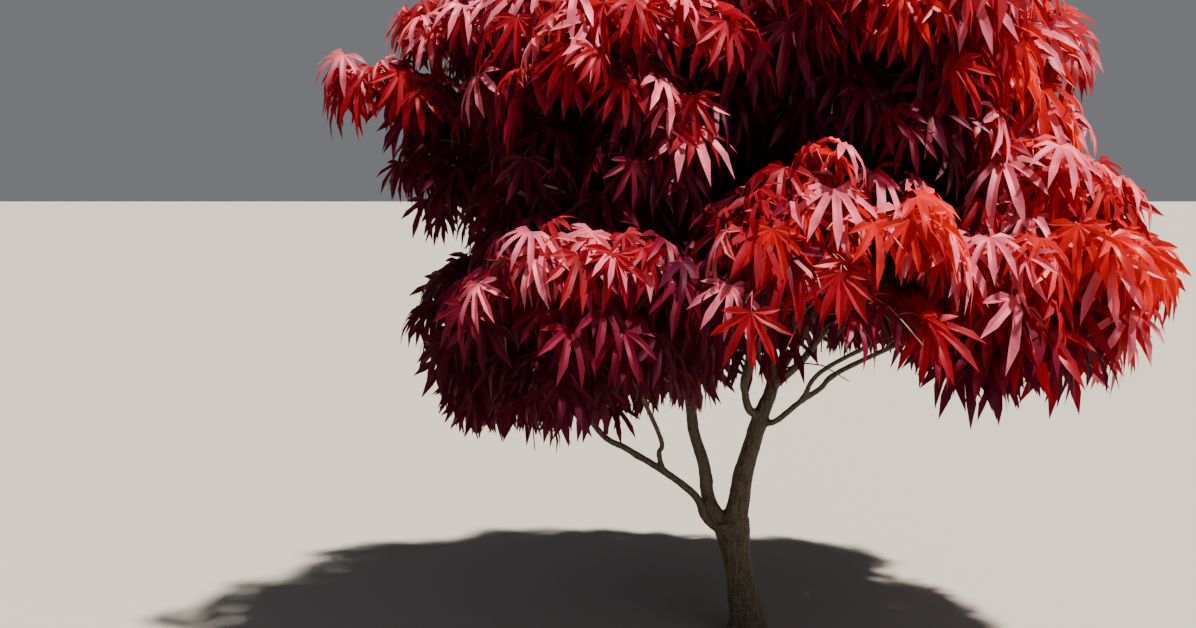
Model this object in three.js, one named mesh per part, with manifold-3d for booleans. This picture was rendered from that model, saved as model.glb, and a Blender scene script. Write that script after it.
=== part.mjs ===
// A young Japanese maple with wine-red leaves: a short leaning trunk that forks low into a vase of
// tapering boughs, and a broad, drooping crown made of eighteen masses of foliage.
// Millimetres, +Z up. The origin is the centre of the flat cut under the trunk, at ground level.
// The view from the front looks along +Y, with +X to the right.
import * as THREE from "three";
import { mergeVertices } from "three/addons/utils/BufferGeometryUtils.js";
import Module from "manifold-3d";

const wasm = await Module();
wasm.setup();

// The whole tree
const touchGap = 0.3; // between a limb and what carries it, and between a bough's tip and its foliage
const cornerGap = 0.01;
const heart = new THREE.Vector3(10, 0, 560); // the crown spreads and droops away from this point

// The trunk
const trunkRoute = [[0, 0, 0], [0, 0, 35], [-13, 3, 115], [-24, 4, 186]];
const trunkRadius = 19.5;
const flareRadius = 36;
const flareHeight = 48;
const forkHeight = 70; // the trunk broadens over this height, under its fork
const forkStretch = 0.42; // how much broader it gets sideways, as a share of its radius ...
const forkFrontShare = 0.25; // ... and how much of that it gets from front to back
const buttresses = 5;
const buttressDepth = 0.22;
const buttressTurn = 0.6; // radians
const trunkSides = 18;
const trunkSteps = 12;

// Foliage: each mass keeps to a squarish ellipsoid of its own, cut flat halfway to its neighbours.
const massGap = 3; // between two masses
const leafLength = 100; // of the middle lobe; each leaf stands for two or three real ones
const leafLengthSpread = 0.12;
const leafThickness = 6; // of a spray, at the hub that its leaves share
const hubReach = 15; // from a twig's tip to that hub
const rootSink = 2.4; // how far a spray's root runs in past the middle of its twig
const sprayDroop = 44; // degrees below level; much the same for all, so that the sprays nest like shingles
const droopSpread = 4;
const sideReach = 66; // from a mass's spine to the tips of its side twigs
const sideReachSpread = 0.15;
const angleSpread = 0.15; // radians
const sideRise = 26; // how much a side twig climbs
const spineTop = 0.8; // the spine's ends, as shares of the mass's half-height over and under its centre
const spineFoot = 0.42;
const spineLean = 0.22; // outward, for each millimetre of height
const spineRadii = [4.4, 5.4, 5.4, 3.2];
const neckLength = 8; // of a spine, from its cut foot to its first bend
const sideRadii = [3.6, 2.8];
const firstSeed = 23; // of the first mass; each mass has its own row of random numbers
const seedStep = 31;

// name, centre, half-widths, and how many sprays it grows. Where one side twig stands out of the crown,
// sprig is its number, the way it points, in degrees from +X towards +Y, and its reach.
const masses = [
  { name: "low_left", at: [-325, -30, 476], half: [185, 210, 180], sprays: 8 },
  { name: "low_front_left", at: [-235, -295, 560], half: [195, 205, 168], sprays: 8 },
  { name: "low_front", at: [60, -385, 612], half: [200, 195, 122], sprays: 7 },
  { name: "low_front_right", at: [325, -255, 580], half: [175, 200, 180], sprays: 8 },
  { name: "low_right", at: [435, 25, 550], half: [235, 210, 172], sprays: 8, sprig: [5, -20, 148] },
  { name: "low_back_right", at: [320, 290, 575], half: [205, 205, 172], sprays: 8 },
  { name: "low_back", at: [35, 370, 580], half: [205, 200, 172], sprays: 8 },
  { name: "low_back_left", at: [-240, 265, 480], half: [205, 205, 180], sprays: 8 },
  { name: "mid_left", at: [-375, -30, 825], half: [275, 205, 198], sprays: 8, sprig: [5, 195, 190] },
  { name: "mid_front_left", at: [-205, -255, 845], half: [210, 200, 185], sprays: 8 },
  { name: "mid_front_right", at: [130, -262, 900], half: [210, 200, 182], sprays: 9 },
  { name: "mid_right", at: [302, -50, 830], half: [180, 210, 195], sprays: 9 },
  { name: "mid_back_right", at: [275, 225, 845], half: [205, 205, 190], sprays: 7 },
  { name: "mid_back", at: [5, 290, 840], half: [205, 205, 190], sprays: 9 },
  { name: "mid_back_left", at: [-265, 225, 775], half: [205, 205, 195], sprays: 8 },
  { name: "top_left", at: [-185, -50, 1022], half: [220, 210, 180], sprays: 9 },
  { name: "top_right", at: [145, -75, 1057], half: [220, 210, 178], sprays: 9 },
  { name: "top_back", at: [10, 165, 1024], half: [220, 205, 178], sprays: 9 },
];

// Each limb ends in one mass. Its first point is on the axis of the limb that carries it: "from" names that
// limb and how far along it. "radii" are at its foot and tip, and "via" are its bends under the foliage.
const limbs = [
  {
    name: "leader", mass: "top_right", from: ["trunk", 0.93], radii: [21, 5.5],
    via: [[-13, 3, 212], [-6, 4, 257], [9, 6, 310], [24, 10, 356], [36, 16, 384], [39, 24, 418],
      [34, 40, 560], [60, 30, 760]],
  },
  {
    name: "bough_left", mass: "mid_left", from: ["trunk", 0.9], radii: [13, 5.5],
    via: [[-56, 6, 212], [-66, 8, 271], [-82, 12, 325], [-90, 14, 384], [-110, 16, 470], [-180, 14, 600]],
  },
  {
    name: "bough_low_left", mass: "low_left", from: ["trunk", 0.86], radii: [8, 4.6],
    via: [[-62, -4, 190], [-76, -10, 222], [-101, -16, 247], [-138, -24, 274], [-187, -30, 305],
      [-222, -32, 326]],
  },
  {
    name: "bough_low_right", mass: "low_right", from: ["leader", 0.4], radii: [5.6, 4.2],
    via: [[40, -2, 340], [76, -10, 371], [107, -14, 393], [141, -16, 422]],
  },
  {
    name: "limb_centre", mass: "mid_front_right", from: ["leader", 0.42], radii: [8, 4.6],
    via: [[2, -2, 358], [-6, -12, 384], [-8, -30, 420], [20, -90, 540]],
  },
  {
    name: "limb_right", mass: "mid_right", from: ["leader", 0.6], radii: [8, 4.8],
    via: [[62, 12, 412], [96, 10, 450], [180, 0, 580]],
  },
  {
    name: "limb_front_right", mass: "low_front_right", from: ["bough_low_right", 0.42], radii: [4.6, 3.8],
    via: [[112, -48, 430]],
  },
  {
    name: "limb_front_left", mass: "low_front_left", from: ["bough_low_left", 0.55], radii: [5.2, 3.8],
    via: [[-137, -44, 300], [-138, -80, 334]],
  },
  {
    name: "limb_mid_front_left", mass: "mid_front_left", from: ["bough_left", 0.5], radii: [6.4, 4.4],
    via: [[-78, -24, 400], [-92, -90, 520]],
  },
  { name: "limb_front", mass: "low_front", from: ["limb_centre", 0.5], radii: [5.4, 3.8] },
  { name: "limb_back_left", mass: "low_back_left", from: ["bough_left", 0.56], radii: [6.6, 4.4] },
  { name: "limb_mid_back_left", mass: "mid_back_left", from: ["bough_left", 0.72], radii: [6.6, 4.4] },
  { name: "limb_top_left", mass: "top_left", from: ["bough_left", 0.82], radii: [6.2, 4.4] },
  { name: "limb_back_right", mass: "low_back_right", from: ["leader", 0.62], radii: [7, 4.4] },
  { name: "limb_back", mass: "low_back", from: ["leader", 0.67], radii: [6.6, 4.2] },
  { name: "limb_mid_back_right", mass: "mid_back_right", from: ["leader", 0.75], radii: [7, 4.4] },
  { name: "limb_mid_back", mass: "mid_back", from: ["leader", 0.82], radii: [6.6, 4.4] },
  { name: "limb_top_back", mass: "top_back", from: ["leader", 0.86], radii: [6.4, 4.4] },
];
const limbSides = 7;
const fewestSteps = 5;
const limbTaper = 0.65; // under 1, a limb thins most near its foot
const entryDepth = 0.6; // a bough ends this share of the way from a mass's centre to its inner side ...
const deepestStart = 0.9; // ... or this share of the way to its last bend, where that is nearer
const limbSpread = 0.34; // a limb with no stated bend is this far out ...
const limbRise = 0.62; // ... when it has risen this far

// One fixed row of random numbers, the same on every run
function seeded(seed) {
  let state = seed;
  return () => {
    state = (state * 1664525 + 1013904223) % 4294967296;
    return state / 4294967296;
  };
}

const vector = ([x, y, z]) => new THREE.Vector3(x, y, z);
const up = new THREE.Vector3(0, 0, 1);
const origin = new THREE.Vector2(0, 0);
const golden = Math.PI * (3 - Math.sqrt(5));
const radians = THREE.MathUtils.degToRad;

// A closed solid from a closed geometry, its shared corners merged
function solidOf(geometry) {
  geometry.deleteAttribute("normal");
  geometry.deleteAttribute("uv");
  const merged = mergeVertices(geometry, 1e-3);
  return new wasm.Manifold(
    new wasm.Mesh({
      numProp: 3,
      vertProperties: merged.attributes.position.array,
      triVerts: new Uint32Array(merged.index.array),
    }),
  );
}

// Only the largest body of a solid: loose scraps are dropped, and a sealed hollow is filled
function largestBody(solid) {
  return solid.decompose().reduce((most, body) => (body.volume() > most.volume() ? body : most));
}

// A rod of straight steps along a curve, with radiusAt(share, angle). level keeps its rings horizontal, and
// overrun lengthens it past the curve's end.
function rod(curve, radiusAt, sides, steps, { level = false, overrun = 0 } = {}) {
  const ring = new THREE.Shape(
    Array.from({ length: sides }, (_, k) => {
      const angle = (2 * Math.PI * k) / sides;
      return new THREE.Vector2(Math.cos(angle), Math.sin(angle));
    }),
  );
  const geometry = new THREE.ExtrudeGeometry(ring, { depth: 1, steps, bevelEnabled: false });
  const frames = [];
  let across = new THREE.Vector3(1, 0, 0);
  for (let k = 0; k <= steps; k++) {
    const along = level ? up : curve.getTangent(k / steps);
    across = across.clone().addScaledVector(along, -across.dot(along)).normalize();
    const centre = curve.getPoint(k / steps).addScaledVector(along, k === steps ? overrun : 0);
    frames.push([centre, across, new THREE.Vector3().crossVectors(along, across)]);
  }
  const position = geometry.attributes.position;
  for (let i = 0; i < position.count; i++) {
    const [x, y, share] = [position.getX(i), position.getY(i), position.getZ(i)];
    const [centre, side, over] = frames[Math.round(share * steps)];
    const radius = radiusAt(share, Math.atan2(y, x));
    const point = centre.clone().addScaledVector(side, x * radius).addScaledVector(over, y * radius);
    position.setXYZ(i, point.x, point.y, point.z);
  }
  return solidOf(geometry);
}

const routeOf = (points) => new THREE.CatmullRomCurve3(points, false, "catmullrom", 0.5);

// The trunk swells into root buttresses at the ground, and broadens sideways under its fork.
const trunkCurve = routeOf(trunkRoute.map(vector));
const trunkTop = trunkRoute.at(-1)[2];
function trunkRadiusAt(share, angle) {
  const height = trunkCurve.getPoint(share).z;
  const flare = Math.exp(-height / flareHeight) * (flareRadius - trunkRadius);
  const lobes = 1 + buttressDepth * Math.cos(buttresses * angle + buttressTurn);
  const forking = THREE.MathUtils.smoothstep(height, trunkTop - forkHeight, trunkTop);
  const stretch = forkStretch * forking * (forkFrontShare + (1 - forkFrontShare) * Math.cos(angle) ** 2);
  return (trunkRadius + flare * lobes) * (1 + stretch);
}

// Where a limb's bough tip meets its mass: on the mass's inner side, towards the last bend
function entryOf(mass, last) {
  const inward = last.clone().sub(mass.centre);
  const reach = Math.hypot(inward.x / mass.half.x, inward.y / mass.half.y, inward.z / mass.half.z);
  return mass.centre.clone().addScaledVector(inward, Math.min(entryDepth / reach, deepestStart));
}

function limbCurve(limb, carrier, mass) {
  const start = carrier.getPoint(limb.from[1]);
  const bends = (limb.via ?? []).map(vector);
  if (!bends.length) {
    const aim = mass.centre.clone().sub(start);
    bends.push(aim.multiply(new THREE.Vector3(limbSpread, limbSpread, limbRise)).add(start));
  }
  return routeOf([start, ...bends, entryOf(mass, bends.at(-1))]);
}

// A spray: up to three leaves round a shared hub, where it is thickest, with a root in its twig behind.
// Each leaf has five pointed lobes. [angle in degrees, share of the length], from the leaf's own heel.
const leafOutline = [
  [-80, 0.62], [-60, 0.4], [-38, 0.88], [-19, 0.47], [0, 1], [19, 0.47], [38, 0.88], [60, 0.4], [80, 0.62],
];
const heelShare = 0.5; // from the hub to a leaf's heel, as a share of the leaf's length
const leafTurns = [-93, 0, 93];
const webShare = 0.14; // how far the blade fills the corner between two leaves
const leafCurl = 0.17; // how far the lobe tips hang below the spray's plane, as a share of the length

function sprayPoints(twigTipPoint, along, length, kept) {
  const side = new THREE.Vector3().crossVectors(up, along).normalize();
  const over = new THREE.Vector3().crossVectors(along, side);
  const hub = twigTipPoint.clone().addScaledVector(along, hubReach);
  const flat = [];
  const turned = (x, y, degrees) => new THREE.Vector2(x, y).rotateAround(origin, radians(degrees));
  leafTurns.forEach((turn, which) => {
    if (which) flat.push(turned(webShare, 0, turn - leafTurns[2] / 2));
    if (!kept.includes(which)) return;
    for (const [degrees, share] of leafOutline) {
      const angle = radians(degrees);
      flat.push(turned(heelShare + share * Math.cos(angle), share * Math.sin(angle), turn));
    }
  });
  const rim = flat.map((point) =>
    hub
      .clone()
      .addScaledVector(along, point.x * length)
      .addScaledVector(side, point.y * length)
      .addScaledVector(over, -leafCurl * point.lengthSq() * length),
  );
  rim.push(twigTipPoint.clone().addScaledVector(along, -rootSink));
  const half = over.clone().multiplyScalar(leafThickness / 2);
  return { rim, top: hub.clone().add(half), under: hub.clone().sub(half) };
}

function spraySolid({ rim, top, under }) {
  const geometry = new THREE.SphereGeometry(1, rim.length, 2);
  const position = geometry.attributes.position;
  for (let i = 0; i < position.count; i++) {
    const row = Math.round(1 - position.getY(i));
    const place = [top, rim[(i % (rim.length + 1)) % rim.length], under][row];
    position.setXYZ(i, place.x, place.y, place.z);
  }
  return solidOf(geometry);
}

// The space of each mass: a squarish ellipsoid, cut by a plane between it and each neighbour
for (const mass of masses) {
  mass.centre = vector(mass.at);
  mass.half = vector(mass.half);
  mass.size = (mass.half.x + mass.half.y + mass.half.z) / 3;
}

function planesOf(mass) {
  return masses
    .filter((other) => other !== mass)
    .map((other) => {
      const toward = other.centre.clone().sub(mass.centre);
      const apart = toward.length();
      const share = 0.5 + (mass.size ** 2 - other.size ** 2) / (2 * apart ** 2);
      toward.normalize();
      return new THREE.Plane(toward, -toward.dot(mass.centre) - share * apart + massGap / 2);
    });
}

function inSpace(point, mass, planes) {
  const away = point.clone().sub(mass.centre).divide(mass.half);
  const share = Math.abs(away.x) ** 3 + Math.abs(away.y) ** 3 + Math.abs(away.z) ** 3;
  return share < 1 && planes.every((plane) => plane.distanceToPoint(point) < 0);
}

// The twigs of a mass: a spine that leaves its bough's end squarely and climbs, and side twigs that leave it
// one golden angle after another, from the top down.
function growTwigs(mass, bough, random) {
  const away = mass.centre.clone().sub(heart).setZ(0).normalize();
  const spineAt = (height) =>
    mass.centre.clone().addScaledVector(up, height).addScaledVector(away, spineLean * height);
  const head = spineTop * mass.half.z;
  const foot = -spineFoot * mass.half.z;
  const start = bough.end.clone().addScaledVector(bough.along, touchGap);
  const neck = start.clone().addScaledVector(bough.along, neckLength);
  const [sprig, sprigWay, sprigReach] = mass.sprig ?? [];
  const turned = sprig ? radians(sprigWay) - golden * sprig : random() * 2 * Math.PI;
  const spine = [start, neck, spineAt(foot), spineAt(head)];
  const twigs = [{ nodes: spine, radii: spineRadii, out: away }];
  for (let k = 1; k < mass.sprays; k++) {
    const angle = turned + golden * k + angleSpread * (2 * random() - 1);
    const out = new THREE.Vector3(Math.cos(angle), Math.sin(angle), 0);
    const root = spineAt(head + (foot - head) * ((k - 0.4) / (mass.sprays - 0.9)));
    const reach = (k === sprig ? sprigReach : sideReach) * (1 + sideReachSpread * (2 * random() - 1));
    const tip = root.clone().addScaledVector(out, reach).addScaledVector(up, sideRise);
    twigs.push({ nodes: [root, tip], radii: sideRadii, out });
  }
  return twigs;
}

function twigSolid({ nodes, radii }) {
  const steps = nodes.length - 1;
  return rod(routeOf(nodes), (share) => radii[Math.round(share * steps)], 3, steps);
}

// How a spray is fitted at a twig's tip, in the order of trial: the leaves it keeps and its size, then the
// degrees that it turns
const sprayForms = [
  [[0, 1, 2], 1], [[0, 1, 2], 0.84], [[0, 1], 1], [[1, 2], 1], [[0, 1], 0.84], [[1, 2], 0.84], [[1], 1],
  [[1], 0.8],
];
const roomTurns = [0, 14, -14, 28, -28, 42, -42];

// A direction out from a spine, turned by some degrees and sloping down by others
function headingOf(out, turn, droop) {
  const fall = radians(droop);
  const flat = out.clone().applyAxisAngle(up, radians(turn));
  return flat.multiplyScalar(Math.cos(fall)).addScaledVector(up, -Math.sin(fall));
}

// The first form and turn of a spray that stays in its mass's space and touches no limb, other twig or spray
function fitSpray(twig, random, mass, planes, wood, frame, sprays) {
  const length = leafLength * (1 + leafLengthSpread * (2 * random() - 1));
  const droop = sprayDroop + droopSpread * (2 * random() - 1);
  for (const [kept, size] of sprayForms) {
    for (const turn of roomTurns) {
      const points = sprayPoints(twig.nodes.at(-1), headingOf(twig.out, turn, droop), length * size, kept);
      if (!points.rim.every((point) => inSpace(point, mass, planes))) continue;
      const spray = spraySolid(points);
      const touched = [wood, ...sprays].some((other) => !other.intersect(spray).isEmpty());
      if (!touched && spray.intersect(frame).decompose().length === 1) return spray;
    }
  }
  return null;
}

// One mass: its twigs fused, then the sprays fused to them. A twig that touches a limb isn't grown.
function growFoliage(mass, bough, wood, seed) {
  const random = seeded(seed);
  const planes = planesOf(mass);
  const [spine, ...sideTwigs] = growTwigs(mass, bough, random);
  let frame = twigSolid(spine);
  const grown = [spine];
  for (const twig of sideTwigs) {
    const solid = twigSolid(twig);
    if (!solid.intersect(wood).isEmpty()) continue;
    frame = frame.add(solid);
    grown.push(twig);
  }
  const sprays = [];
  for (const twig of grown) {
    const spray = fitSpray(twig, random, mass, planes, wood, frame, sprays);
    if (spray) sprays.push(spray);
  }
  return largestBody(sprays.reduce((sum, spray) => sum.add(spray), frame));
}

// Bark and leaf colours
const bark = new THREE.MeshStandardMaterial({ color: 0x4a4038, roughness: 0.85, metalness: 0 });
const leafColours = { low: 0x5a0f1c, mid: 0x7c1420, top: 0x94161f };
const leafMaterials = Object.fromEntries(
  Object.entries(leafColours).map(([tier, color]) => [
    tier,
    new THREE.MeshStandardMaterial({ color, roughness: 0.45, metalness: 0 }),
  ]),
);

const tree = new THREE.Group();
tree.name = "tree";

// One named sub-part; corners that a cut leaves almost together become one
function addNode(name, solid, material) {
  const made = solid.getMesh();
  const cut = new THREE.BufferGeometry();
  cut.setAttribute("position", new THREE.BufferAttribute(new Float32Array(made.vertProperties), 3));
  cut.setIndex(new THREE.BufferAttribute(new Uint32Array(made.triVerts), 1));
  const geometry = mergeVertices(cut, cornerGap);
  const corners = geometry.index.array;
  const kept = [];
  for (let i = 0; i < corners.length; i += 3) {
    const [a, b, c] = corners.slice(i, i + 3);
    if (a !== b && b !== c && c !== a) kept.push(a, b, c);
  }
  geometry.setIndex(kept);
  geometry.computeVertexNormals();
  const mesh = new THREE.Mesh(geometry, material);
  mesh.name = name;
  tree.add(mesh);
}

// The trunk, then each limb cut clear of the wood that carries it
const curves = { trunk: trunkCurve };
addNode("trunk", rod(trunkCurve, trunkRadiusAt, trunkSides, trunkSteps, { level: true }), bark);
const widened = (share, angle) => trunkRadiusAt(share, angle) + touchGap;
let wood = rod(trunkCurve, widened, trunkSides, trunkSteps, { level: true, overrun: touchGap });
const boughEnds = {};
for (const limb of limbs) {
  const mass = masses.find((m) => m.name === limb.mass);
  const curve = limbCurve(limb, curves[limb.from[0]], mass);
  curves[limb.name] = curve;
  const [foot, tip] = limb.radii;
  const steps = Math.max(fewestSteps, 2 * (limb.via ?? []).length);
  const radiusAt = (share) => foot + (tip - foot) * share ** limbTaper;
  addNode(limb.name, largestBody(rod(curve, radiusAt, limbSides, steps).subtract(wood)), bark);
  const cover = rod(curve, (share) => radiusAt(share) + touchGap, limbSides, steps, { overrun: touchGap });
  wood = wood.add(cover);
  boughEnds[limb.mass] = { end: curve.getPoint(1), along: curve.getTangent(1) };
}

masses.forEach((mass, index) => {
  const material = leafMaterials[mass.name.split("_")[0]];
  const seed = firstSeed + seedStep * index;
  addNode(`foliage_${mass.name}`, growFoliage(mass, boughEnds[mass.name], wood, seed), material);
});

export default tree;
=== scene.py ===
# A young Japanese maple with wine-red leaves: bark relief on its trunk and boughs, fine twigs that grow on
# from them, and a few thousand hanging leaves, each with seven pointed lobes.
# Metres, +Z up. The origin is the centre of the flat cut under the trunk, at ground level.
import math

import bmesh
import bpy
import numpy as np
from mathutils import Matrix, Vector, kdtree, noise


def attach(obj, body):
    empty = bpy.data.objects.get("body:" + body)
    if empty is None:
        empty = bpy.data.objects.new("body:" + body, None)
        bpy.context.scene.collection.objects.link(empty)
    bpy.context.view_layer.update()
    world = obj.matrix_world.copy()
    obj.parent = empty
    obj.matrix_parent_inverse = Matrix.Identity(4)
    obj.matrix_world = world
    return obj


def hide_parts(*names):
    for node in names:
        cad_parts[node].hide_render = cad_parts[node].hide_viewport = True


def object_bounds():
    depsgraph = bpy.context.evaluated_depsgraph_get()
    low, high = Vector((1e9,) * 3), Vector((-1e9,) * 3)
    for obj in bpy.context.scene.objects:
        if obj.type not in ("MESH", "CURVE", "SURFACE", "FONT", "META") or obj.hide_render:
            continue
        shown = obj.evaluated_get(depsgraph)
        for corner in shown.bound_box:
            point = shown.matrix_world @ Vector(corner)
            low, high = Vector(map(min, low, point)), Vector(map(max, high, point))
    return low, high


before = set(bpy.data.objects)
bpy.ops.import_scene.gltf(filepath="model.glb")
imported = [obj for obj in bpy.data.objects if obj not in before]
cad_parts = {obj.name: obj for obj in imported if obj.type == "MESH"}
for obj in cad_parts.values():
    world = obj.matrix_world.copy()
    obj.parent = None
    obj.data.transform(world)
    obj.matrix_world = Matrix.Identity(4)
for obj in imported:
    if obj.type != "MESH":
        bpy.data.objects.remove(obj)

solid_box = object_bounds()


# The view
# The camera stands two metres in front of the tree, a little to its left and at the height of the crown's
# lower half, and looks slightly down, so that the top of the crown passes out of the picture.
camera_place = (-0.228, -2.0925, 0.720)
camera_fall = 5.89
camera_lens = 42
camera = bpy.data.objects.new("camera", bpy.data.cameras.new("camera"))
camera.data.sensor_width = 36
camera.data.lens = camera_lens
camera.data.clip_start = 0.05
camera.location = camera_place
camera.rotation_euler = (math.radians(90 - camera_fall), 0, 0)
bpy.context.scene.collection.objects.link(camera)
bpy.context.scene.camera = camera


# The light and the floor
# A strong key light from high on the right and a little in front shines through the leaves there, a broad
# soft light fills in from the right front, and a pale room lights the rest. The floor is a pale matt sheet.
def linear(text):
    """A linear colour from the sRGB hex value of a finish"""
    channels = [int(text[i:i + 2], 16) / 255 for i in (1, 3, 5)]
    return [c / 12.92 if c <= 0.04045 else ((c + 0.055) / 1.055) ** 2.4 for c in channels] + [1]


def add(tree, kind, inputs=(), **settings):
    """Adds a node to a tree, with its settings, and its inputs as values or as the outputs that feed them"""
    node = tree.nodes.new("ShaderNode" + kind)
    for name, value in settings.items():
        setattr(node, name, value)
    for name, value in dict(inputs).items():
        if isinstance(value, bpy.types.NodeSocket):
            tree.links.new(value, node.inputs[name])
        else:
            node.inputs[name].default_value = value
    return node


def blank(name):
    """An empty material and its node tree"""
    material = bpy.data.materials.new(name)
    material.use_nodes = True
    material.node_tree.nodes.clear()
    return material, material.node_tree


def add_light(name, kind, place, strength, colour, **settings):
    """A light that shines on the middle of the crown from its place"""
    light = bpy.data.objects.new(name, bpy.data.lights.new(name, kind))
    light.data.energy = strength
    light.data.color = linear(colour)[:3]
    for setting, value in settings.items():
        setattr(light.data, setting, value)
    light.location = place
    light.rotation_euler = (crown_middle - place).to_track_quat("-Z", "Y").to_euler()
    bpy.context.scene.collection.objects.link(light)


crown_middle = Vector((0, 0, 0.6))
sun_place = Vector((1.9, -1.0, 5.4))
sun_strength = 21
sun_breadth = 3
fill_place = Vector((1.4, -3.3, 2.2))
fill_strength = 34
fill_size = 2.4
room_strength = 0.22
add_light("key", "SUN", sun_place, sun_strength, "#fff4e6", angle=math.radians(sun_breadth))
add_light("fill", "AREA", fill_place, fill_strength, "#f6eeff", size=fill_size)

world = bpy.data.worlds.new("room")
world.use_nodes = True
world.node_tree.nodes["Background"].inputs["Color"].default_value = linear("#e9edf2")
world.node_tree.nodes["Background"].inputs["Strength"].default_value = room_strength
bpy.context.scene.world = world

floor_half = 30
matt_floor, tree = blank("matt_floor")
shade = add(tree, "BsdfPrincipled", {"Base Color": linear("#807d78"), "Roughness": 0.9})
add(tree, "OutputMaterial", {"Surface": shade.outputs["BSDF"]})
shape = bmesh.new()
bmesh.ops.create_grid(shape, x_segments=1, y_segments=1, size=floor_half)
floor = bpy.data.objects.new("floor", bpy.data.meshes.new("floor"))
shape.to_mesh(floor.data)
shape.free()
floor.data.materials.append(matt_floor)
bpy.context.scene.collection.objects.link(floor)


# The shape of the wood
# The trunk leans to the left, and forks low. Each limb leaves the one that carries it at a share of its
# length, bends through a few points and ends where it enters its mass of foliage, thinning all the way.
trunk_route = [(0, 0, 0), (0, 0, 0.035), (-0.013, 0.003, 0.115), (-0.024, 0.004, 0.186)]
trunk_radius = 0.0195
flare_radius = 0.036
flare_height = 0.048
# Over its last stretch the trunk grows broader towards its fork, and less so from front to back
fork_height = 0.070
fork_stretch = 0.42
fork_front_share = 0.25
buttresses = 5
buttress_depth = 0.22
buttress_turn = 0.6

# Name, centre, half-widths, and how many twigs it grows
masses = {
    "low_left": ((-0.325, -0.030, 0.476), (0.185, 0.210, 0.180), 8),
    "low_front_left": ((-0.235, -0.295, 0.560), (0.195, 0.205, 0.168), 8),
    "low_front": ((0.060, -0.385, 0.612), (0.200, 0.195, 0.122), 7),
    "low_front_right": ((0.325, -0.255, 0.580), (0.175, 0.200, 0.180), 8),
    "low_right": ((0.435, 0.025, 0.550), (0.235, 0.210, 0.172), 8),
    "low_back_right": ((0.320, 0.290, 0.575), (0.205, 0.205, 0.172), 8),
    "low_back": ((0.035, 0.370, 0.580), (0.205, 0.200, 0.172), 8),
    "low_back_left": ((-0.240, 0.265, 0.480), (0.205, 0.205, 0.180), 8),
    "mid_left": ((-0.375, -0.030, 0.825), (0.275, 0.205, 0.198), 8),
    "mid_front_left": ((-0.205, -0.255, 0.845), (0.210, 0.200, 0.185), 8),
    "mid_front_right": ((0.130, -0.262, 0.900), (0.210, 0.200, 0.182), 9),
    "mid_right": ((0.302, -0.050, 0.830), (0.180, 0.210, 0.195), 9),
    "mid_back_right": ((0.275, 0.225, 0.845), (0.205, 0.205, 0.190), 7),
    "mid_back": ((0.005, 0.290, 0.840), (0.205, 0.205, 0.190), 9),
    "mid_back_left": ((-0.265, 0.225, 0.775), (0.205, 0.205, 0.195), 8),
    "top_left": ((-0.185, -0.050, 1.022), (0.220, 0.210, 0.180), 9),
    "top_right": ((0.145, -0.075, 1.057), (0.220, 0.210, 0.178), 9),
    "top_back": ((0.010, 0.165, 1.024), (0.220, 0.205, 0.178), 9),
}
# The masses from which one long twig stands out of the crown: its number, the way it points, in degrees, its
# reach, and how much of the mass's half-width is there for it alone
sprigs = {"low_right": (5, -20, 0.148, 0.095), "mid_left": (5, 195, 0.190, 0.095)}

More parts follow.
